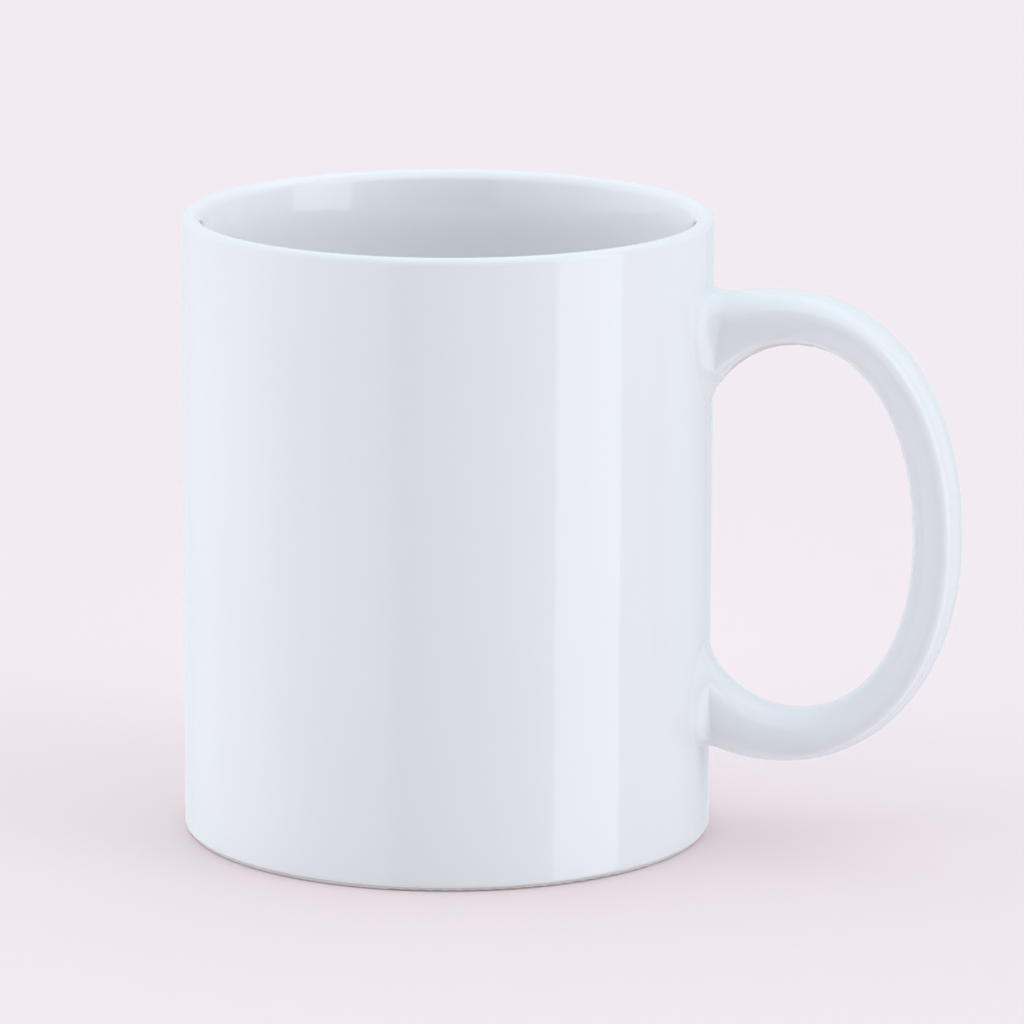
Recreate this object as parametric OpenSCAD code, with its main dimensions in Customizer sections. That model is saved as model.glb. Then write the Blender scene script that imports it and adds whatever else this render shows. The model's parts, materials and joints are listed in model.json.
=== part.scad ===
// Plain straight-sided ceramic mug for sublimation printing, with a loop handle.
// The cup stands on Z = 0, its axis is Z, and the handle reaches out along +X.
// Every outside size below is a finished size, measured over the glaze.

/* [Cup] */
// Outside diameter of the cup
cup_d = 82; // [78:0.5:88]
// Height of the cup from the foot to the rim
cup_h = 97; // [94:0.5:108]
// Height of the drinking floor above the foot
floor_z = 6.5; // [5:0.1:8]
// Radius where the bore turns into the floor
floor_fillet = 9; // [4:0.5:14]
// Thickness of the fired glaze
glaze_t = 0.4; // [0.3:0.05:0.5]

/* [Rim] */
// Rounding on the drinking side of the rim
rim_outer_round = 1.1; // [0.6:0.1:1.6]
// Rounding on the inner side of the rim
rim_inner_round = 2.1; // [1.6:0.1:2.6]
// How much further out the bore ends at the rim than lower down
rim_flare = 1; // [0.4:0.1:1.6]
// Height over which the bore flares
rim_flare_h = 7.1; // [6:0.1:12]

/* [Foot] */
// Width of the unglazed foot ring
foot_w = 3.8; // [3:0.1:5]
// Rounding of the heel outside the foot ring
heel_round = 0.5; // [0.3:0.1:1.5]
// Depth of the recess inside the foot ring
recess_h = 1.8; // [1:0.1:2.5]
// Rounding in the corner of the recess
recess_round = 1.2; // [0.5:0.1:1.5]
// Height at which the outer glaze stops above the foot
glaze_stop_z = 0.6; // [0.5:0.1:3]

/* [Handle] */
// Distance from the cup's wall to the outside of the loop
handle_out = 39.3; // [37:0.1:41]
// Distance from the cup's wall to the inside of the loop
finger_room = 31.9; // [30:0.1:33]
// Distance from the cup's wall to the crown of the outer curve
outer_crown = 11.3; // [10:0.1:13]
// Distance from the cup's wall to the crown of the inner curve
inner_crown = 13.7; // [12.5:0.1:14.5]
// Height of the widest point of the loop
loop_z = 48.4; // [46:0.1:52]
// Height of the top of the loop
handle_top_z = 86.6; // [84:0.1:88]
// Thickness of the loop at its top
handle_top_t = 8.1; // [7:0.1:10]
// Height of the bottom of the loop
handle_bottom_z = 13.3; // [12:0.1:16]
// Thickness of the loop at its bottom
handle_bottom_t = 8.1; // [7:0.1:10]
// Width of the handle across the grip
grip_w = 12; // [11:0.5:15]
// Width of the handle where it meets the cup
root_w = 14; // [13:0.5:17]

/* [Slip joints] */
// How far the joint spreads to each side of the handle
joint_side = 3.5; // [2:0.1:6]
// How far the joint spreads above and below the handle
joint_end = 1.5; // [0.8:0.1:2.4]

/* [Hidden] */
$fn = 96;
eps = 0.5;

cup_r = cup_d / 2;
clay_r = cup_r - glaze_t;
rim_bore_r = cup_r - rim_outer_round - rim_inner_round;
bore_r = rim_bore_r - rim_flare;
crown_r = cup_r - rim_outer_round;
rim_outer_z = cup_h - rim_outer_round;
rim_inner_z = cup_h - rim_inner_round;
foot_outer_r = clay_r - heel_round;
foot_inner_r = foot_outer_r - foot_w;

// The flare is an arc that leaves the straight bore and runs smoothly into the rim
flare_z = rim_inner_z - rim_flare_h;
flare_round = rim_inner_round
    + (rim_flare_h * rim_flare_h + rim_flare * rim_flare) / (2 * rim_flare);
flare_tilt = asin(rim_flare_h / (flare_round - rim_inner_round));

loop_outer_x = cup_r + outer_crown;
loop_inner_x = cup_r + inner_crown;
loop_reach = cup_r + handle_out;
loop_inner_reach = cup_r + finger_room;
loop_inner_top_z = handle_top_z - handle_top_t;
loop_inner_bottom_z = handle_bottom_z + handle_bottom_t;

// Exponent of the loop's curves, and of the handle's section
loop_power = 2.13;
section_power = 2.5;
// How much longer the loop's top runs back from its crown to the cup than an even curve
top_stretch = 1.5;
// How much narrower the handle is towards the inside of the loop
section_taper = 0.25;
// How late along the loop the handle widens towards the cup
root_power = 4;
// Points round a section, and sections along the loop
ring_n = 28;
loop_n = 40;
// Section at which the slip joint ends, and steps across its concave face
joint_rings = 1;
joint_steps = 4;
// Rings across each end of the handle
cap_rings = 3;

white_glaze = [0.93, 0.94, 0.96];
fired_clay = [0.90, 0.88, 0.84];

// ---------------------------------------------------------------- cup

// Half-section of the space inside the cup up to the rim, grown by the skin
module cavity_section(skin) {
    fillet_r = bore_r - floor_fillet;
    fillet_z = floor_z + floor_fillet;
    translate([0, floor_z - skin]) square([fillet_r, floor_fillet + skin]);
    translate([fillet_r, fillet_z]) circle(floor_fillet + skin);
    translate([0, fillet_z]) square([bore_r + skin, flare_z - fillet_z]);
    difference() {
        translate([0, flare_z]) square([crown_r, rim_inner_z - flare_z]);
        flare_disc(skin);
    }
}

// Disc whose left edge is the flare of the bore
module flare_disc(skin) {
    translate([bore_r + flare_round, flare_z]) circle(flare_round - skin);
}

// Half-section of the rounded rim above the wall
module rim_section(skin) {
    inner_round = rim_inner_round - skin;
    translate([crown_r, rim_inner_z])
        square([rim_outer_round - skin, rim_outer_z - rim_inner_z]);
    intersection() {
        translate([crown_r, rim_outer_z]) circle(rim_outer_round - skin);
        translate([crown_r, rim_outer_z]) square(rim_outer_round);
    }
    intersection() {
        translate([crown_r, rim_inner_z]) circle(inner_round);
        translate([bore_r, rim_inner_z]) square([crown_r - bore_r, rim_inner_round]);
    }
    intersection() {
        translate([bore_r, rim_inner_z])
            square([crown_r - bore_r, inner_round * sin(flare_tilt)]);
        flare_disc(skin);
    }
}

// Half-section of the cup's wall, floor and rim, shrunk by the skin
module wall_section(skin) {
    difference() {
        square([cup_r - skin, rim_inner_z]);
        cavity_section(skin);
    }
    rim_section(skin);
}

// Half-section of the recess under the cup, with rounded corners
module recess_section(depth) {
    corner_r = foot_inner_r - recess_round;
    square([foot_inner_r, depth - recess_round]);
    square([corner_r, depth]);
    translate([corner_r, depth - recess_round]) circle(recess_round);
}

// Half-section outside the rounded heel
module heel_section() {
    difference() {
        translate([foot_outer_r, 0]) square([heel_round + eps, heel_round]);
        translate([foot_outer_r, heel_round]) circle(heel_round);
    }
}

// Roller-formed cup: wall, floor, rim and foot ring
module clay_body() {
    color(fired_clay)
    rotate_extrude()
    difference() {
        wall_section(glaze_t);
        recess_section(recess_h + glaze_t);
        heel_section();
    }
}

// Glaze over the bore, the floor and the inner half of the rim
module inner_glaze() {
    color(white_glaze)
    rotate_extrude()
    intersection() {
        difference() {
            wall_section(0);
            wall_section(glaze_t);
        }
        translate([0, floor_z - glaze_t]) square([crown_r, cup_h]);
    }
}

// Glaze over the outside of the wall, open where the handle is joined on
module outer_glaze() {
    color(white_glaze)
    difference() {
        rotate_extrude()
        difference() {
            intersection() {
                wall_section(0);
                translate([crown_r, glaze_stop_z]) square([cup_r, cup_h]);
            }
            wall_section(glaze_t);
        }
        joint_window(1);
        joint_window(-1);
    }
}

// Glaze inside the recess of the foot
module base_glaze() {
    color(white_glaze)
    translate([0, 0, recess_h])
    cylinder(h = glaze_t, r = foot_inner_r - recess_round);
}

// ------------------------------------------------------- handle geometry

// A power that keeps the sign of its base
function signed_pow(v, p) = sign(v) * pow(abs(v), p);

// Point of a flattened ellipse about [x, loop_z], back = its run from the crown to the cup
function loop_point(x, reach, back, top, bottom, angle) =
    let (
        rise = sin(angle) >= 0 ? top - loop_z : loop_z - bottom,
        run = cos(angle) >= 0 ? reach - x : back
    )
    [x + run * signed_pow(cos(angle), 2 / loop_power),
     loop_z + rise * signed_pow(sin(angle), 2 / loop_power)];

// Angle at which such a curve reaches the clay wall
function wall_angle(x, back) = acos(-pow((x - clay_r) / back, loop_power / 2));

outer_run = loop_reach - loop_outer_x;
inner_run = loop_inner_reach - loop_inner_x;

// Outer and inner edge of the loop, from t = 1 at the upper joint to t = -1 at the lower
function outer_edge(t) =
    let (back = t > 0 ? outer_run * top_stretch : outer_run)
    loop_point(loop_outer_x, loop_reach, back, handle_top_z, handle_bottom_z,
               t * wall_angle(loop_outer_x, back));
function inner_edge(t) =
    loop_point(loop_inner_x, loop_inner_reach, inner_run, loop_inner_top_z,
               loop_inner_bottom_z, t * wall_angle(loop_inner_x, inner_run));

// Half the handle's width at t
function half_width(t) = (grip_w + (root_w - grip_w) * pow(abs(t), root_power)) / 2;

// Shape of the section in unit size: flat towards the outside, rounder and narrower inside
function unit_section(angle) =
    let (out = signed_pow(sin(angle), 2 / section_power))
    [signed_pow(cos(angle), 2 / section_power) * (1 - section_taper * (1 - out) / 2), out];

// A point put onto the cup's wall of radius r, at the same Y and Z
function on_wall(p, r) = [sqrt(r * r - p[1] * p[1]), p[1], p[2]];

// One section of the handle; grow = 0 gives the clay and glaze_t the finished surface
function section_ring(t, grow) =
    let (
        o = outer_edge(t),
        i = inner_edge(t),
        mid = (o + i) / 2,
        way = (o - i) / norm(o - i),
        deep = norm(o - i) / 2 - glaze_t + grow,
        wide = half_width(t) - glaze_t + grow
    )
    [for (k = [0:ring_n - 1])
        let (u = unit_section(360 * k / ring_n), r = mid + way * deep * u[1])
        [r[0], wide * u[0], r[1]]];

// The handle's end on the wall at the upper (side = 1) or lower (side = -1) joint
function root_ring(side, grow) =
    [for (p = section_ring(side, grow)) on_wall(p, clay_r + grow)];

// The joint's outer edge on the wall
function joint_edge(side, grow) =
    let (
        o = outer_edge(side),
        i = inner_edge(side),
        mid_z = (o[1] + i[1]) / 2,
        deep = abs(o[1] - i[1]) / 2 + joint_end,
        wide = half_width(side) + joint_side
    )
    [for (k = [0:ring_n - 1])
        let (u = unit_section(360 * k / ring_n))
        on_wall([0, wide * u[0], mid_z + side * deep * u[1]], clay_r + grow)];

// Place of a section along the loop, from the upper joint down
function loop_t(i) = 1 - 2 * i / loop_n;

// Section at which a joint ends
function joint_end_t(side) = side > 0 ? loop_t(joint_rings) : loop_t(loop_n - joint_rings);

// A ring of the joint's concave face, f = 0 on the wall and 1 on the handle
function joint_ring(side, f, grow) =
    let (
        a = joint_edge(side, grow),
        b = root_ring(side, grow),
        c = section_ring(joint_end_t(side), grow)
    )
    [for (k = [0:ring_n - 1])
        (1 - f) * (1 - f) * a[k] + 2 * f * (1 - f) * b[k] + f * f * c[k]];

// The whole handle skin from joint edge to joint edge
function handle_skin(grow) = concat(
    [for (j = [0:joint_steps - 1]) joint_ring(1, j / joint_steps, grow)],
    [for (i = [joint_rings:loop_n - joint_rings]) section_ring(loop_t(i), grow)],
    [for (j = [joint_steps - 1:-1:0]) joint_ring(-1, j / joint_steps, grow)]);

// The list backwards
function backwards(list) = [for (i = [len(list) - 1:-1:0]) list[i]];

// All the points of a list of rings
function flat(rings) = [for (ring = rings) for (p = ring) p];

// Two triangles between ring a and ring b at place k
function band(a, b, k) =
    let (n = (k + 1) % ring_n, a0 = a * ring_n, b0 = b * ring_n)
    [[a0 + k, b0 + k, b0 + n], [a0 + k, b0 + n, a0 + n]];

// Solid whose cross-section is a closed row of rings
module ring_solid(rings) {
    n = len(rings);
    polyhedron(flat(rings), [for (r = [0:n - 1]) for (k = [0:ring_n - 1])
        for (face = band(r, (r + 1) % n, k)) face], convexity = 6);
}

// Rings that close an end of the handle on the wall, from the middle outwards
function cap_ring_list(side) =
    let (
        root = root_ring(side, 0),
        mid_z = (outer_edge(side)[1] + inner_edge(side)[1]) / 2
    )
    [for (j = [1:cap_rings - 1])
        [for (p = root)
            let (f = j / cap_rings)
            on_wall([0, f * p[1], mid_z + f * (p[2] - mid_z)], clay_r)]];

// ---------------------------------------------------------------- handle

// Slip-cast solid loop, its ends cut to the cup's wall
module handle() {
    rings = concat(
        cap_ring_list(1),
        [root_ring(1, 0)],
        [for (i = [1:loop_n - 1]) section_ring(loop_t(i), 0)],
        [root_ring(-1, 0)],
        backwards(cap_ring_list(-1)));
    n = len(rings);
    upper_mid = n * ring_n;
    lower_mid = upper_mid + 1;
    ends = [for (side = [1, -1])
        on_wall([0, 0, (outer_edge(side)[1] + inner_edge(side)[1]) / 2], clay_r)];
    faces = concat(
        [for (r = [0:n - 2]) for (k = [0:ring_n - 1]) for (face = band(r, r + 1, k)) face],
        [for (k = [0:ring_n - 1]) [upper_mid, k, (k + 1) % ring_n]],
        [for (k = [0:ring_n - 1])
            [lower_mid, (n - 1) * ring_n + (k + 1) % ring_n, (n - 1) * ring_n + k]]);
    color(fired_clay) polyhedron(concat(flat(rings), ends), faces, convexity = 6);
}

// Collar of fired slip that sticks the handle to the cup and rounds the corner
module slip_joint(side) {
    rings = concat(
        [root_ring(side, 0)],
        [for (j = [0:joint_steps - 1]) joint_ring(side, j / joint_steps, 0)],
        [for (i = [joint_rings:-1:1]) section_ring(side > 0 ? loop_t(i) : loop_t(loop_n - i), 0)]);
    color(fired_clay) ring_solid(side > 0 ? rings : backwards(rings));
}

module upper_slip_joint() {
    slip_joint(1);
}

module lower_slip_joint() {
    slip_joint(-1);
}

// Glaze over the handle and both joints
module handle_glaze() {
    color(white_glaze) ring_solid(concat(handle_skin(glaze_t), backwards(handle_skin(0))));
}

// Opening in the outer glaze under a joint, through the wall's near side only
module joint_window(side) {
    translate([cup_r / 2, 0, 0])
    rotate([90, 0, 90])
    linear_extrude(cup_r)
    polygon([for (p = joint_edge(side, 0)) [p[1], p[2]]]);
}

clay_body();
handle();
upper_slip_joint();
lower_slip_joint();
inner_glaze();
outer_glaze();
base_glaze();
handle_glaze();
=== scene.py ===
"""Looks of a plain white glazed mug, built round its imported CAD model.

Lengths are in millimetres until a mesh or a light is made, where MM turns them into metres.
"""

import json
import math

import bpy
import numpy as np
from mathutils import Matrix, Vector


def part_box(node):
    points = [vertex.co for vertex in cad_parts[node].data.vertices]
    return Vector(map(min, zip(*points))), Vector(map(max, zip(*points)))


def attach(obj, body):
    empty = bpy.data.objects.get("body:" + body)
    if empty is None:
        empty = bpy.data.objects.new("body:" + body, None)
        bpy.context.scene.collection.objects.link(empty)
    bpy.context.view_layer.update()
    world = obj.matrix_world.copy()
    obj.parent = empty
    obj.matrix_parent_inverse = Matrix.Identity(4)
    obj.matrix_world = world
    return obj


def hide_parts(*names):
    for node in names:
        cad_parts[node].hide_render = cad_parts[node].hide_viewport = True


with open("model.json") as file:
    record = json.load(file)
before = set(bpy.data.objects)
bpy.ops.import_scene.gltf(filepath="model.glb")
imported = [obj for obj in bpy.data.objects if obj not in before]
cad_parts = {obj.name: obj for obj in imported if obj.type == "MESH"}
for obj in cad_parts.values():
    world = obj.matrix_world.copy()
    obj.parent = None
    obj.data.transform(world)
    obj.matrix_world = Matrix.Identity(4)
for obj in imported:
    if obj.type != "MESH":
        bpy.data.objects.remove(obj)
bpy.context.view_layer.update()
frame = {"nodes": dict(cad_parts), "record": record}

MM = 0.001


# ---------------------------------------------------------------- sizes from the frame

def cad_box(node):
    """Lowest and highest corner of a CAD node, in millimetres."""
    low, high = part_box(node)
    return low / MM, high / MM


def mount(name):
    """The record's mount of that name."""
    return next(m for m in frame["record"]["mounts"] if m["name"] == name)


CUP_R = cad_box("outer_glaze")[1].y
CUP_H = cad_box("outer_glaze")[1].z
CLAY_R = cad_box("clay_body")[1].y
GLAZE_T = CUP_R - CLAY_R
GLAZE_STOP_Z = cad_box("outer_glaze")[0].z
CROWN_R = cad_box("inner_glaze")[1].x
BORE_R = mount("cup_bore")["dims"]["r_mm"]
BORE_TOP_Z = mount("cup_bore")["pos_m"][2] / MM + mount("cup_bore")["dims"]["length_mm"] / 2
FLOOR_Z = cad_box("inner_glaze")[0].z + GLAZE_T
BASE_GLAZE_R = cad_box("base_glaze")[1].x
RECESS_H = cad_box("base_glaze")[0].z

# The straight bore starts where the floor's fillet ends
FLOOR_FILLET = 2 * mount("cup_bore")["pos_m"][2] / MM - BORE_TOP_Z - FLOOR_Z
RIM_OUTER_ROUND = CUP_R - CROWN_R
RIM_INNER_ROUND = 2.1
RIM_FLARE = CROWN_R - RIM_INNER_ROUND - BORE_R

# The handle's loop: two flattened half ellipses that end on the cup's wall
LOOP_REACH = cad_box("handle_glaze")[1].x
LOOP_TOP_Z = cad_box("handle_glaze")[1].z
LOOP_BOTTOM_Z = cad_box("handle_glaze")[0].z
LOOP_Z = 48.4
LOOP_OUTER_X = CUP_R + 11.3
LOOP_INNER_X = CUP_R + 13.7
LOOP_INNER_REACH = CUP_R + 31.9
LOOP_INNER_TOP_Z = LOOP_TOP_Z - 8.1
LOOP_INNER_BOTTOM_Z = LOOP_BOTTOM_Z + 8.1
LOOP_POWER = 2.13
# How much longer the loop's top runs back from its crown to the cup than an even curve
TOP_STRETCH = 1.5
GRIP_W = 12.0
ROOT_W = 14.0
ROOT_POWER = 4
SECTION_POWER = 2.5
SECTION_TAPER = 0.25

# The slip joints: how far they spread on the wall, and where along the loop they end
JOINT_SIDE = 3.5
JOINT_END = 1.5
JOINT_T = 0.95
# How far each end of a joint's curve holds its direction towards the corner; a short hold
# at the handle keeps the crease there crisp
JOINT_PULL_WALL = 0.6
JOINT_PULL_HANDLE = 0.25
# Step along the loop over which its direction is measured at a joint
SLOPE_T = 0.002

# Mesh density. A window in the outer glaze takes PATCH columns and rows, and so RING points.
COLUMNS = 240
PATCH = 32
RING = 4 * PATCH
PATCH_RINGS = 10
LOOP_STEPS = 180
JOINT_STEPS = 20
UPPER_PATCH_Z = (62.0, 90.0)
LOWER_PATCH_Z = (9.6, 36.4)

# Steps along the cup's profiles, from the foot up and from the rim in
BEAD_STEPS = 7
FOOT_STEPS = 8
GRIP_STEPS = 20
SHOULDER_STEPS = 5
OUTER_RIM_STEPS = 18
INNER_RIM_STEPS = 14
FLARE_STEPS = 16
BORE_STEPS = 24
FILLET_STEPS = 24
FLAT_STEPS = 10
BASE_EDGE_STEPS = 6
# Radius inside which a flat round face is one fan of triangles
FAN_R = 3.0
# Height of the outer glaze's rolled lower edge, against its thickness
BEAD_RISE = 1.5


# ---------------------------------------------------------------- meshes

class Skin:
    """Points, faces and a normal for every face corner, gathered into one mesh."""

    def __init__(self):
        self.points = []
        self.faces = []
        self.corner_normals = []

    def add(self, points):
        """Adds an array of points and gives the numbers they got, in the array's shape."""
        points = np.asarray(points, float)
        first = len(self.points)
        flat = points.reshape(-1, 3)
        self.points.extend(flat)
        return np.arange(first, first + len(flat)).reshape(points.shape[:-1])

    def face(self, corners, normals=None):
        """Adds a face. Without normals, every corner takes the face's own."""
        if normals is None:
            p = [self.points[c] for c in corners]
            n = np.cross(p[1] - p[0], p[2] - p[1])
            n = n / max(np.linalg.norm(n), 1e-12)
            normals = [n] * len(corners)
        self.faces.append([int(c) for c in corners])
        self.corner_normals.extend(normals)

    def sheet(self, ids, normals, wrap=False):
        """Faces over a grid of point numbers, wrapped along its second axis or not."""
        rows, columns = ids.shape
        for i in range(rows - 1):
            for j in range(columns if wrap else columns - 1):
                k = (j + 1) % columns
                corners = [(i, j), (i, k), (i + 1, k), (i + 1, j)]
                self.face([ids[c] for c in corners], [normals[c] for c in corners])

    def fan(self, ids, z, side):
        """Triangles from a ring of point numbers to the axis, facing up (side = 1) or down."""
        middle = self.add((0, 0, z))
        for a, b in zip(ids, np.roll(ids, -1)):
            self.face([a, b, middle] if side > 0 else [b, a, middle], [np.array([0, 0, side])] * 3)

    def object(self, name, material):
        """The finished piece, in metres."""
        used = sorted({c for face in self.faces for c in face})
        number = {old: new for new, old in enumerate(used)}
        mesh = bpy.data.meshes.new(name)
        mesh.from_pydata([tuple(self.points[c] * MM) for c in used], [],
                         [[number[c] for c in face] for face in self.faces])
        mesh.polygons.foreach_set("use_smooth", [True] * len(mesh.polygons))
        mesh.normals_split_custom_set([tuple(n) for n in self.corner_normals])
        mesh.materials.append(material)
        piece = bpy.data.objects.new(name, mesh)
        bpy.context.scene.collection.objects.link(piece)
        return piece


def unit(v):
    """Vectors scaled to length 1."""
    return v / np.maximum(np.linalg.norm(v, axis=-1, keepdims=True), 1e-12)


def arc(centre, radius, start, end, steps, hollow=False):
    """Profile points (r, z, normal r, normal z) along an arc; hollow turns its normals inwards."""
    rows = []
    for a in np.radians(np.linspace(start, end, steps + 1)):
        c, s = math.cos(a), math.sin(a)
        side = -1 if hollow else 1
        rows.append((centre[0] + radius * c, centre[1] + radius * s, side * c, side * s))
    return rows


def line(start, end, steps):
    """Profile points along a straight line, with the material on its left."""
    dr, dz = end[0] - start[0], end[1] - start[1]
    length = math.hypot(dr, dz)
    return [(start[0] + dr * f, start[1] + dz * f, dz / length, -dr / length)
            for f in np.linspace(0, 1, steps + 1)]


def joined(*runs):
    """Several runs as one profile, without the points they share."""
    profile = list(runs[0])
    for run in runs[1:]:
        profile.extend(run[1:])
    return profile


def turned(profile, columns=COLUMNS):
    """A profile turned round Z: its points and normals as grids of rows and columns."""
    angles = np.linspace(0, 2 * math.pi, columns, endpoint=False)
    c, s = np.cos(angles), np.sin(angles)
    p = np.array(profile)
    points = np.stack([np.outer(p[:, 0], c), np.outer(p[:, 0], s),
                       np.outer(p[:, 1], np.ones(columns))], axis=-1)
    normals = np.stack([np.outer(p[:, 2], c), np.outer(p[:, 2], s),
                        np.outer(p[:, 3], np.ones(columns))], axis=-1)
    return points, normals


# ---------------------------------------------------------------- the handle's curves

def signed_pow(v, p):
    """A power that keeps the sign of its base."""
    return np.sign(v) * np.abs(v) ** p


def loop_point(x, reach, back, top, bottom, angle):
    """Point (x, z) of a flattened ellipse about (x, LOOP_Z); back is its run to the cup."""
    rise = top - LOOP_Z if math.sin(angle) >= 0 else LOOP_Z - bottom
    run = reach - x if math.cos(angle) >= 0 else back
    return np.array([x + run * signed_pow(math.cos(angle), 2 / LOOP_POWER),
                     LOOP_Z + rise * signed_pow(math.sin(angle), 2 / LOOP_POWER)])


def wall_angle(x, back):
    """Angle at which such a curve reaches the clay wall."""
    return math.acos(-((x - CLAY_R) / back) ** (LOOP_POWER / 2))


def outer_edge(t):
    """Outer edge of the loop, from t = 1 at the upper joint to t = -1 at the lower."""
    back = (LOOP_REACH - LOOP_OUTER_X) * (TOP_STRETCH if t > 0 else 1)
    return loop_point(LOOP_OUTER_X, LOOP_REACH, back, LOOP_TOP_Z, LOOP_BOTTOM_Z,
                      t * wall_angle(LOOP_OUTER_X, back))


def inner_edge(t):
    """Inner edge of the loop."""
    back = LOOP_INNER_REACH - LOOP_INNER_X
    return loop_point(LOOP_INNER_X, LOOP_INNER_REACH, back, LOOP_INNER_TOP_Z,
                      LOOP_INNER_BOTTOM_Z, t * wall_angle(LOOP_INNER_X, back))


def half_width(t):
    """Half the handle's width at t."""
    return (GRIP_W + (ROOT_W - GRIP_W) * np.abs(t) ** ROOT_POWER) / 2


def unit_section():
    """The section's shape in unit size: columns are across and outwards."""
    angle = np.radians(np.arange(RING) * 360 / RING)
    out = signed_pow(np.sin(angle), 2 / SECTION_POWER)
    across = signed_pow(np.cos(angle), 2 / SECTION_POWER)
    return across * (1 - SECTION_TAPER * (1 - out) / 2), out


def section_ring(t, grow):
    """One section of the handle; grow is 0 for the clay and GLAZE_T for the finished surface."""
    across, out = unit_section()
    o, i = outer_edge(t), inner_edge(t)
    way = (o - i) / np.linalg.norm(o - i)
    deep = np.linalg.norm(o - i) / 2 - GLAZE_T + grow
    wide = half_width(t) - GLAZE_T + grow
    middle = (o + i) / 2 + np.outer(out, way * deep)
    return np.stack([middle[:, 0], wide * across, middle[:, 1]], axis=-1)


def joint_edge(side, radius):
    """Outer edge of a slip joint, on a wall of that radius."""
    across, out = unit_section()
    o, i = outer_edge(side), inner_edge(side)
    deep = abs(o[1] - i[1]) / 2 + JOINT_END
    y = (half_width(side) + JOINT_SIDE) * across
    return np.stack([np.sqrt(radius ** 2 - y ** 2), y,
                     (o[1] + i[1]) / 2 + side * deep * out], axis=-1)


def unrolled(points, radius):
    """Points as (distance round the wall, height, distance off the wall)."""
    off = np.hypot(points[..., 0], points[..., 1]) - radius
    return np.stack([np.arctan2(points[..., 1], points[..., 0]) * radius,
                     points[..., 2], off], axis=-1)


def rolled(points, radius):
    """The reverse of unrolled()."""
    angle = points[..., 0] / radius
    r = radius + points[..., 2]
    return np.stack([r * np.cos(angle), r * np.sin(angle), points[..., 1]], axis=-1)


def joint_rings(side, grow):
    """Rings of a joint's concave face, from the wall to just short of the handle's section."""
    radius = CLAY_R + grow
    start = unrolled(joint_edge(side, radius), radius)
    end = unrolled(section_ring(side * JOINT_T, grow), radius)
    before = unrolled(section_ring(side * (JOINT_T - SLOPE_T), grow), radius)
    slope = (end - before) / (end - before)[:, 2:3]
    corner = end - slope * end[:, 2:3]
    first = start + JOINT_PULL_WALL * (corner - start)
    last = end + JOINT_PULL_HANDLE * (corner - end)
    rings = []
    for f in np.arange(JOINT_STEPS) / JOINT_STEPS:
        g = 1 - f
        rings.append(rolled(g ** 3 * start + 3 * g * g * f * first
                            + 3 * g * f * f * last + f ** 3 * end, radius))
    return rings


def handle_rings(grow):
    """All the rings of the handle's skin, from the upper joint's edge to the lower's."""
    middle = [section_ring(t, grow) for t in np.linspace(JOINT_T, -JOINT_T, LOOP_STEPS + 1)]
    return np.array(joint_rings(1, grow) + middle + joint_rings(-1, grow)[::-1])


def tube_normals(rings):
    """Normals of a tube of rings from their neighbours, and straight off the wall at its ends."""
    along = np.gradient(rings, axis=0)
    around = np.roll(rings, -1, axis=1) - np.roll(rings, 1, axis=1)
    normals = unit(np.cross(around, along))
    for end in (0, -1):
        flat = rings[end].copy()
        flat[:, 2] = 0
        normals[end] = unit(flat)
    return normals


# ---------------------------------------------------------------- the glazes

def inner_profile(skin):
    """Inside of the cup from the crown of the rim down to the floor, grown by a skin."""
    rim_z = CUP_H - RIM_INNER_ROUND
    flare_h = rim_z - BORE_TOP_Z
    flare_r = RIM_INNER_ROUND + (flare_h ** 2 + RIM_FLARE ** 2) / (2 * RIM_FLARE)
    tilt = math.degrees(math.asin(flare_h / (flare_r - RIM_INNER_ROUND)))
    fillet = (BORE_R - FLOOR_FILLET, FLOOR_Z + FLOOR_FILLET)
    bore = BORE_R + skin
    return joined(
        arc((CROWN_R, rim_z), RIM_INNER_ROUND - skin, 90, 180 - tilt, INNER_RIM_STEPS),
        arc((BORE_R + flare_r, BORE_TOP_Z), flare_r - skin, 180 - tilt, 180, FLARE_STEPS),
        line((bore, BORE_TOP_Z), (bore, fillet[1]), BORE_STEPS),
        arc(fillet, FLOOR_FILLET + skin, 0, -90, FILLET_STEPS, hollow=True),
        line((fillet[0], FLOOR_Z - skin), (FAN_R, FLOOR_Z - skin), FLAT_STEPS))


def make_inner_glaze(material):
    """Glaze over the bore, the floor and the inner half of the rim."""
    skin = Skin()
    near, near_normals = turned(inner_profile(0))
    far, far_normals = turned(inner_profile(GLAZE_T)[::-1])
    near_ids, far_ids = skin.add(near), skin.add(far)
    skin.sheet(near_ids, near_normals, wrap=True)
    skin.sheet(far_ids, -far_normals, wrap=True)
    skin.sheet(np.stack([far_ids[-1], near_ids[0]]), np.stack([near_normals[0]] * 2), wrap=True)
    skin.fan(near_ids[-1], FLOOR_Z, 1)
    skin.fan(far_ids[0], FLOOR_Z - GLAZE_T, -1)
    return skin.object("inner_glaze_skin", material)


def make_base_glaze(material):
    """Glaze inside the recess of the foot, with a rounded edge."""
    skin = Skin()
    flat = line((FAN_R, RECESS_H), (BASE_GLAZE_R - GLAZE_T, RECESS_H), FLAT_STEPS)
    edge = arc((BASE_GLAZE_R - GLAZE_T, RECESS_H + GLAZE_T), GLAZE_T, -90, 0, BASE_EDGE_STEPS)
    points, normals = turned(joined(flat, edge))
    ids = skin.add(points)
    skin.sheet(ids, normals, wrap=True)
    skin.fan(ids[0], RECESS_H, -1)
    skin.fan(ids[-1], RECESS_H + GLAZE_T, 1)
    return skin.object("base_glaze_skin", material)


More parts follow.
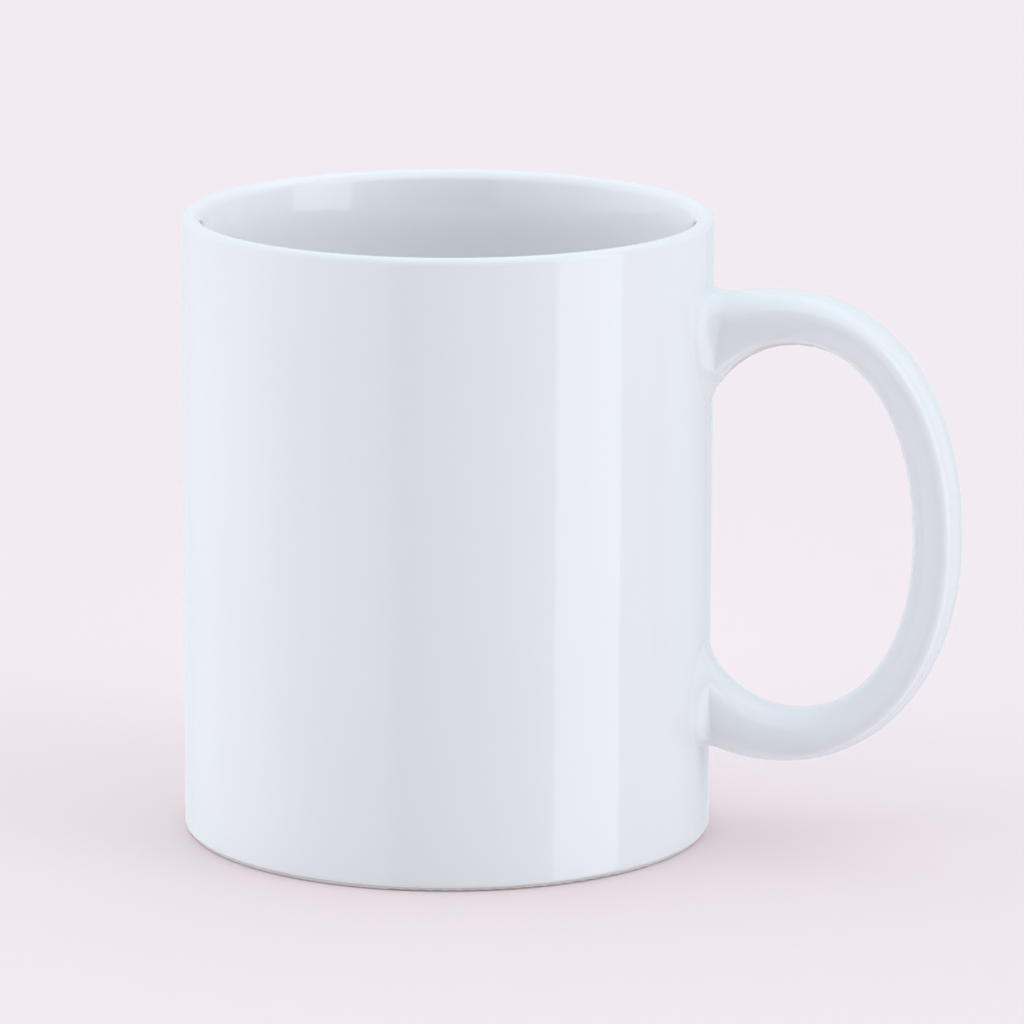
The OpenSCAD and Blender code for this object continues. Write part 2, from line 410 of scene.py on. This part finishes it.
def window_border(rows, columns, upward):
    """Grid places round a window's patch, in the order of a section's points."""
    half = PATCH // 2
    walk = ([(half + k, PATCH) for k in range(half)]
            + [(PATCH, PATCH - k) for k in range(PATCH)]
            + [(PATCH - k, 0) for k in range(PATCH)]
            + [(0, k) for k in range(PATCH)]
            + [(k, PATCH) for k in range(half)])
    return [(rows[i if upward else PATCH - i], columns[j]) for i, j in walk]


def outer_profile():
    """Outside of the outer glaze from its rolled lower edge up to the crown of the rim."""
    bead = BEAD_RISE * GLAZE_T
    rolled_edge = [(CLAY_R + GLAZE_T * math.sin(a), GLAZE_STOP_Z + bead * (1 - math.cos(a)),
                    math.sin(a), -math.cos(a)) for a in np.linspace(0, math.pi / 2, BEAD_STEPS + 1)]
    rim_z = CUP_H - RIM_OUTER_ROUND
    wall_z = [GLAZE_STOP_Z + bead, *LOWER_PATCH_Z, *UPPER_PATCH_Z, rim_z]
    steps = (FOOT_STEPS, PATCH, GRIP_STEPS, PATCH, SHOULDER_STEPS)
    wall = [line((CUP_R, start), (CUP_R, end), n)
            for start, end, n in zip(wall_z, wall_z[1:], steps)]
    rim = arc((CROWN_R, rim_z), RIM_OUTER_ROUND, 0, 90, OUTER_RIM_STEPS)
    return joined(rolled_edge, *wall, rim)


def add_wall(skin, ids, normals, left_out, first_row, outside):
    """Faces over one side of the outer glaze, apart from the cells under its windows."""
    for i in range(first_row, len(ids) - 1):
        for j in range(COLUMNS):
            if (i, j) in left_out:
                continue
            k = (j + 1) % COLUMNS
            corners = [(i, j), (i, k), (i + 1, k), (i + 1, j)]
            if not outside:
                corners.reverse()
            skin.face([ids[c] for c in corners], [normals[c] for c in corners])


def add_patch(skin, border, radius, side, outside):
    """Faces from a window's square border in to the joint's edge, whose numbers it gives."""
    outer = unrolled(np.array([skin.points[n] for n in border]), radius)
    inner = unrolled(joint_edge(side, radius), radius)
    layers = [skin.add(rolled(inner + (outer - inner) * f, radius))
              for f in np.arange(PATCH_RINGS) / PATCH_RINGS]
    layers = np.array([*layers, border])
    for i in range(PATCH_RINGS):
        for j in range(RING):
            k = (j + 1) % RING
            corners = [layers[i, j], layers[i + 1, j], layers[i + 1, k], layers[i, k]]
            if outside == (side < 0):
                corners.reverse()
            flat = [skin.points[c] * (1, 1, 0) for c in corners]
            skin.face(corners, [unit(f) * (1 if outside else -1) for f in flat])
    return layers[0]


def make_outer_glaze(material):
    """Glaze over the outside of the wall, with a window at each slip joint."""
    near = outer_profile()
    far = [(CLAY_R, z, nr, nz) if n <= BEAD_STEPS else (r - GLAZE_T * nr, z - GLAZE_T * nz, nr, nz)
           for n, (r, z, nr, nz) in enumerate(near)]
    skin = Skin()
    grids = []
    for profile, side in ((near, 1), (far, -1)):
        points, normals = turned(profile)
        grids.append((skin.add(points), normals * side))

    columns = [c % COLUMNS for c in range(-PATCH // 2, PATCH // 2 + 1)]
    lower_row = BEAD_STEPS + FOOT_STEPS
    upper_row = lower_row + PATCH + GRIP_STEPS
    windows = [(range(row, row + PATCH + 1), side)
               for row, side in ((lower_row, -1), (upper_row, 1))]
    left_out = {(i, j) for rows, _ in windows for i in rows[:-1] for j in columns[:-1]}
    (near_ids, near_normals), (far_ids, far_normals) = grids
    add_wall(skin, near_ids, near_normals, left_out, 0, True)
    add_wall(skin, far_ids, far_normals, left_out, BEAD_STEPS, False)

    # The bead's foot and the crown join the two surfaces
    for j in range(COLUMNS):
        k = (j + 1) % COLUMNS
        skin.face([far_ids[BEAD_STEPS, j], far_ids[BEAD_STEPS, k], near_ids[0, k], near_ids[0, j]])
        skin.face([near_ids[-1, j], near_ids[-1, k], far_ids[-1, k], far_ids[-1, j]],
                  [near_normals[-1, c] for c in (j, k, k, j)])

    for rows, side in windows:
        border = window_border(rows, columns, side > 0)
        near_edge = add_patch(skin, [near_ids[c] for c in border], CUP_R, side, True)
        far_edge = add_patch(skin, [far_ids[c] for c in border], CLAY_R, side, False)
        for j in range(RING):
            k = (j + 1) % RING
            corners = [near_edge[j], near_edge[k], far_edge[k], far_edge[j]]
            skin.face(corners if side > 0 else corners[::-1])
    return skin.object("outer_glaze_skin", material)


def make_handle_glaze(material):
    """Glaze over the handle and both slip joints."""
    skin = Skin()
    near, far = handle_rings(GLAZE_T), handle_rings(0)
    near_ids, far_ids = skin.add(near), skin.add(far)
    skin.sheet(near_ids, tube_normals(near), wrap=True)
    skin.sheet(far_ids[::-1], -tube_normals(far)[::-1], wrap=True)
    for end, turn in ((0, -1), (-1, 1)):
        for j in range(RING):
            k = (j + 1) % RING
            corners = [near_ids[end, j], near_ids[end, k], far_ids[end, k], far_ids[end, j]]
            skin.face(corners[::turn])
    return skin.object("handle_glaze_skin", material)


# ---------------------------------------------------------------- materials

class Nodes:
    """A material's node tree with short ways to add to it."""

    def __init__(self, name):
        self.material = bpy.data.materials.new(name)
        self.material.use_nodes = True
        self.tree = self.material.node_tree
        self.shader = self.tree.nodes["Principled BSDF"]
        self.coords = self.tree.nodes.new("ShaderNodeTexCoord").outputs["Object"]

    def link(self, source, target):
        self.tree.links.new(source, target)

    def noise(self, scale, detail=2.0, seed=0.0):
        """Noise from 0 to 1, its scale in bumps a metre."""
        node = self.tree.nodes.new("ShaderNodeTexNoise")
        node.noise_dimensions = "4D"
        node.inputs["Scale"].default_value = scale
        node.inputs["Detail"].default_value = detail
        node.inputs["W"].default_value = seed
        self.link(self.coords, node.inputs["Vector"])
        return node.outputs["Fac"]

    def spots(self, scale):
        """Distance to the nearest of a scatter of points, scale of them a metre."""
        node = self.tree.nodes.new("ShaderNodeTexVoronoi")
        node.inputs["Scale"].default_value = scale
        self.link(self.coords, node.inputs["Vector"])
        return node.outputs["Distance"]

    def spread(self, value, low, high, start=0.0, end=1.0):
        """A value's range from start to end, laid onto low to high."""
        node = self.tree.nodes.new("ShaderNodeMapRange")
        for name, number in (("From Min", start), ("From Max", end), ("To Min", low),
                             ("To Max", high)):
            node.inputs[name].default_value = number
        self.link(value, node.inputs["Value"])
        return node.outputs["Result"]

    def add(self, a, b):
        node = self.tree.nodes.new("ShaderNodeMath")
        node.operation = "ADD"
        self.link(a, node.inputs[0])
        self.link(b, node.inputs[1])
        return node.outputs[0]

    def blend(self, factor, a, b):
        """A colour between two, by a factor from 0 to 1."""
        node = self.tree.nodes.new("ShaderNodeMix")
        node.data_type = "RGBA"
        self.link(factor, node.inputs["Factor"])
        node.inputs["A"].default_value = (*a, 1)
        node.inputs["B"].default_value = (*b, 1)
        return node.outputs["Result"]

    def relief(self, height_mm):
        """Small surface relief from a height in millimetres."""
        node = self.tree.nodes.new("ShaderNodeBump")
        node.inputs["Strength"].default_value = 1
        node.inputs["Distance"].default_value = MM
        self.link(height_mm, node.inputs["Height"])
        self.link(node.outputs["Normal"], self.shader.inputs["Normal"])

    def set(self, **values):
        """Values straight on the shader's sockets, with _ for a space in their names."""
        for name, value in values.items():
            self.shader.inputs[name.replace("_", " ")].default_value = value


WHITE = (0.88, 0.90, 0.92)
DEEPER = (0.87, 0.89, 0.912)
# The inside's two colours are a lighter copy of the outer white: painted light that brightens the
# shaded inside of the cup, under the same faint clouds of tone.
INNER_WHITE_PAINTED_LIGHT = (0.93, 0.922, 0.937)
INNER_DEEPER_PAINTED_LIGHT = (0.922, 0.914, 0.93)
CLAY = (0.80, 0.79, 0.76)
CLAY_SHADE = (0.76, 0.745, 0.71)
FLOOR_COLOUR = (0.95, 0.81, 0.83)
FLOOR_SHADE = (0.94, 0.80, 0.82)
GLAZE_IOR = 1.5


def glaze_material(name, colour, deeper, roughness, coat):
    """Fired white glaze: faint clouds of colour, slow waves, orange peel and a few pinholes."""
    n = Nodes(name)
    n.set(IOR=GLAZE_IOR, Coat_Weight=coat, Coat_Roughness=0.05, Coat_IOR=GLAZE_IOR)
    clouds = n.spread(n.noise(scale=28, detail=3), 0, 1, start=0.35, end=0.65)
    n.link(n.blend(clouds, colour, deeper), n.shader.inputs["Base Color"])
    n.link(n.spread(n.noise(scale=160, detail=3, seed=4), roughness * 0.8, roughness * 1.2,
                    start=0.3, end=0.7), n.shader.inputs["Roughness"])
    waves_mm = n.spread(n.noise(scale=38, detail=0, seed=9), 0, 0.012)
    peel_mm = n.spread(n.noise(scale=620, detail=1, seed=2), 0, 0.0005)
    pinholes_mm = n.spread(n.spots(scale=52), -0.03, 0, start=0, end=0.008)
    n.relief(n.add(n.add(waves_mm, peel_mm), pinholes_mm))
    return n.material


def clay_material(name):
    """Bare fired clay: matt, slightly warm, with a fine grain."""
    n = Nodes(name)
    n.set(IOR=1.45, Specular_IOR_Level=0.3)
    clouds = n.spread(n.noise(scale=420, detail=4), 0, 1, start=0.35, end=0.65)
    n.link(n.blend(clouds, CLAY, CLAY_SHADE), n.shader.inputs["Base Color"])
    n.link(n.spread(n.noise(scale=900, detail=2, seed=3), 0.78, 0.92),
           n.shader.inputs["Roughness"])
    grain_mm = n.spread(n.noise(scale=2600, detail=3, seed=6), 0, 0.03)
    n.relief(grain_mm)
    return n.material


def floor_material(name):
    """Smooth pale paper with a very faint tooth."""
    n = Nodes(name)
    n.set(Roughness=0.85, Specular_IOR_Level=0.2)
    n.link(n.blend(n.noise(scale=3, detail=2), FLOOR_COLOUR, FLOOR_SHADE),
           n.shader.inputs["Base Color"])
    tooth_mm = n.spread(n.noise(scale=900, detail=2), 0, 0.01)
    n.relief(tooth_mm)
    return n.material


# ---------------------------------------------------------------- studio

CAMERA_AZIMUTH = 12.0
CAMERA_ELEVATION = 12.545
CAMERA_DISTANCE = 1.0272
CAMERA_BASE_Z = 0.048
CAMERA_AIM = (0.01, 0.04978)
CAMERA_ROLL = 0.21
CAMERA_LENS = 232.58
SENSOR_WIDTH = 36

FLOOR_RINGS = (0.2, 0.6, 1.5, 4.0, 12.0)
FLOOR_COLUMNS = 96

# The light is set by its azimuth from the camera's. Each ring is a list of (azimuth, value).
KEY_AZIMUTH = CAMERA_AZIMUTH
RING_TOP = 4.0
SIDE = [(-180, 0.91), (-150, 0.97), (-120, 1.3), (-90, 1.6), (-60, 1.2), (-28, 0.66), (-20, 0.0),
        (0, 0.3), (20, 0.5), (44, 0.9), (83, 0.95), (100, 0.9), (125, 0.86), (150, 0.75),
        (180, 0.91)]
UPPER = [(-180, 1.1), (-135, 1.0), (-45, 1.1), (45, 1.3), (135, 1.25), (180, 1.1)]
# Heights on the unit sphere between which the side ring gives way to the upper one
UPPER_START, UPPER_END = 0.57, 0.77
# A tall soft box stands in the side ring, with a soft edge on each side
STRIP_START, STRIP_END = (46.3, 48.3), (79.3, 81.3)
STRIP_VALUE = 1.2
LIGHT_COLOUR = (0.869, 0.939, 0.984)


def direction(azimuth, elevation):
    """Unit vector from the mug towards an azimuth and elevation in degrees."""
    a, e = math.radians(azimuth), math.radians(elevation)
    return Vector((math.sin(a) * math.cos(e), -math.cos(a) * math.cos(e), math.sin(e)))


def make_camera():
    """The camera that took the picture: far off and slightly above, with a long lens."""
    data = bpy.data.cameras.new("camera")
    data.sensor_width = SENSOR_WIDTH
    data.lens = CAMERA_LENS
    data.clip_start, data.clip_end = 0.05, 100
    camera = bpy.data.objects.new("camera", data)
    camera.location = (direction(CAMERA_AZIMUTH, CAMERA_ELEVATION) * CAMERA_DISTANCE
                       + Vector((0, 0, CAMERA_BASE_Z)))
    aim = Vector((math.cos(math.radians(CAMERA_AZIMUTH)) * CAMERA_AIM[0],
                  math.sin(math.radians(CAMERA_AZIMUTH)) * CAMERA_AIM[0], CAMERA_AIM[1]))
    turn = (camera.location - aim).to_track_quat("Z", "Y").to_matrix()
    roll = Matrix.Rotation(math.radians(CAMERA_ROLL), 3, "Z")
    camera.rotation_mode = "QUATERNION"
    camera.rotation_quaternion = (turn @ roll).to_quaternion()
    bpy.context.scene.collection.objects.link(camera)
    bpy.context.scene.camera = camera


def make_floor():
    """A wide disc under the mug, which mirrors nothing so that the glaze shows only the light."""
    turn = np.linspace(0, 2 * math.pi, FLOOR_COLUMNS, endpoint=False)
    points = [(0, 0, 0)]
    points += [(r * math.cos(a), r * math.sin(a), 0) for r in FLOOR_RINGS for a in turn]
    faces = []
    for j in range(FLOOR_COLUMNS):
        k = (j + 1) % FLOOR_COLUMNS
        faces.append((0, 1 + j, 1 + k))
        for inner in range(1, len(points) - FLOOR_COLUMNS, FLOOR_COLUMNS):
            outer = inner + FLOOR_COLUMNS
            faces.append((inner + j, outer + j, outer + k, inner + k))
    mesh = bpy.data.meshes.new("floor")
    mesh.from_pydata(points, [], faces)
    mesh.materials.append(floor_material("studio_floor"))
    floor = bpy.data.objects.new("floor", mesh)
    bpy.context.scene.collection.objects.link(floor)
    floor.visible_glossy = False


class Surround:
    """Node tree of the light that comes from all round, by azimuth and elevation."""

    def __init__(self):
        self.world = bpy.data.worlds.new("surround")
        self.world.use_nodes = True
        self.tree = self.world.node_tree
        self.shader = self.tree.nodes["Background"]
        coords = self.tree.nodes.new("ShaderNodeTexCoord")
        axes = self.tree.nodes.new("ShaderNodeSeparateXYZ")
        self.tree.links.new(coords.outputs["Generated"], axes.inputs[0])
        x, y, z = axes.outputs
        # As in direction(), azimuth 0 is towards -Y. Here it is counted from the key's and runs
        # from 0 to 1 round the mug, with the key at 0.5.
        turn = self.math("ARCTAN2", x, self.math("MULTIPLY", y, -1.0))
        turn = self.math("ADD", self.math("DIVIDE", turn, 2 * math.pi), 1.0 - KEY_AZIMUTH / 360)
        self.azimuth = self.math("FRACT", self.math("ADD", turn, 0.5))
        self.height = z

    @staticmethod
    def place(azimuth):
        """Where an azimuth from the key lies between 0 and 1 round the mug."""
        return azimuth / 360 + 0.5

    def math(self, operation, a, b=0.0):
        node = self.tree.nodes.new("ShaderNodeMath")
        node.operation = operation
        for socket, value in zip(node.inputs, (a, b)):
            if isinstance(value, (int, float)):
                socket.default_value = value
            else:
                self.tree.links.new(value, socket)
        return node.outputs[0]

    def step(self, value, start, end):
        """0 below start, 1 above end, smooth between."""
        node = self.tree.nodes.new("ShaderNodeMapRange")
        node.interpolation_type = "SMOOTHSTEP"
        node.inputs["From Min"].default_value = start
        node.inputs["From Max"].default_value = end
        self.tree.links.new(value, node.inputs["Value"])
        return node.outputs["Result"]

    def ring(self, stops):
        """Brightness round the mug, in straight lines between (azimuth from the key, value)."""
        node = self.tree.nodes.new("ShaderNodeValToRGB")
        ramp = node.color_ramp
        for number, (azimuth, value) in enumerate(stops):
            if number < 2:
                element = ramp.elements[number]
                element.position = self.place(azimuth)
            else:
                element = ramp.elements.new(self.place(azimuth))
            element.color = (value / RING_TOP,) * 3 + (1,)
        self.tree.links.new(self.azimuth, node.inputs["Fac"])
        grey = self.tree.nodes.new("ShaderNodeRGBToBW")
        self.tree.links.new(node.outputs["Color"], grey.inputs[0])
        return self.math("MULTIPLY", grey.outputs[0], RING_TOP)

    def finish(self, value, colour):
        """Lights the scene with a value in every direction, in one colour."""
        tint = self.tree.nodes.new("ShaderNodeMix")
        tint.data_type = "RGBA"
        tint.blend_type = "MULTIPLY"
        tint.inputs["Factor"].default_value = 1.0
        self.tree.links.new(value, tint.inputs["A"])
        tint.inputs["B"].default_value = (*colour, 1)
        self.tree.links.new(tint.outputs["Result"], self.shader.inputs["Color"])
        bpy.context.scene.world = self.world


def make_world():
    """Soft light from all round: a ring at the sides with a tall soft box, and one above it."""
    w = Surround()
    up = w.step(w.height, UPPER_START, UPPER_END)
    low = w.math("SUBTRACT", 1.0, up)
    past_start, past_end = (w.step(w.azimuth, *map(w.place, edge))
                            for edge in (STRIP_START, STRIP_END))
    strip = w.math("MULTIPLY", past_start, w.math("SUBTRACT", 1.0, past_end))
    side = w.math("ADD", w.ring(SIDE), w.math("MULTIPLY", strip, STRIP_VALUE))
    value = w.math("ADD", w.math("MULTIPLY", side, low), w.math("MULTIPLY", w.ring(UPPER), up))
    w.finish(value, LIGHT_COLOUR)


# ---------------------------------------------------------------- the scene

clay = clay_material("fired_clay_look")
for node in ("clay_body", "handle", "upper_slip_joint", "lower_slip_joint"):
    piece = frame["nodes"][node]
    piece.data.materials.clear()
    piece.data.materials.append(clay)

made = {
    "outer_glaze": make_outer_glaze(glaze_material("outer_glaze_look", WHITE, DEEPER,
                                                   roughness=0.07, coat=0.3)),
    # The inner glaze takes the lighter colours, painted light for the shaded inside.
    "inner_glaze": make_inner_glaze(glaze_material("inner_glaze_look", INNER_WHITE_PAINTED_LIGHT, INNER_DEEPER_PAINTED_LIGHT,
                                                   roughness=0.06, coat=0.5)),
    "base_glaze": make_base_glaze(glaze_material("base_glaze_look", WHITE, DEEPER,
                                                 roughness=0.12, coat=0)),
    "handle_glaze": make_handle_glaze(glaze_material("handle_glaze_look", WHITE, DEEPER,
                                                     roughness=0.07, coat=0.3)),
}
for node, piece in made.items():
    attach(piece, "root")
    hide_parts(node)

make_floor()
make_camera()
make_world()

view = bpy.context.scene.view_settings
view.view_transform = "Standard"
view.look = "None"
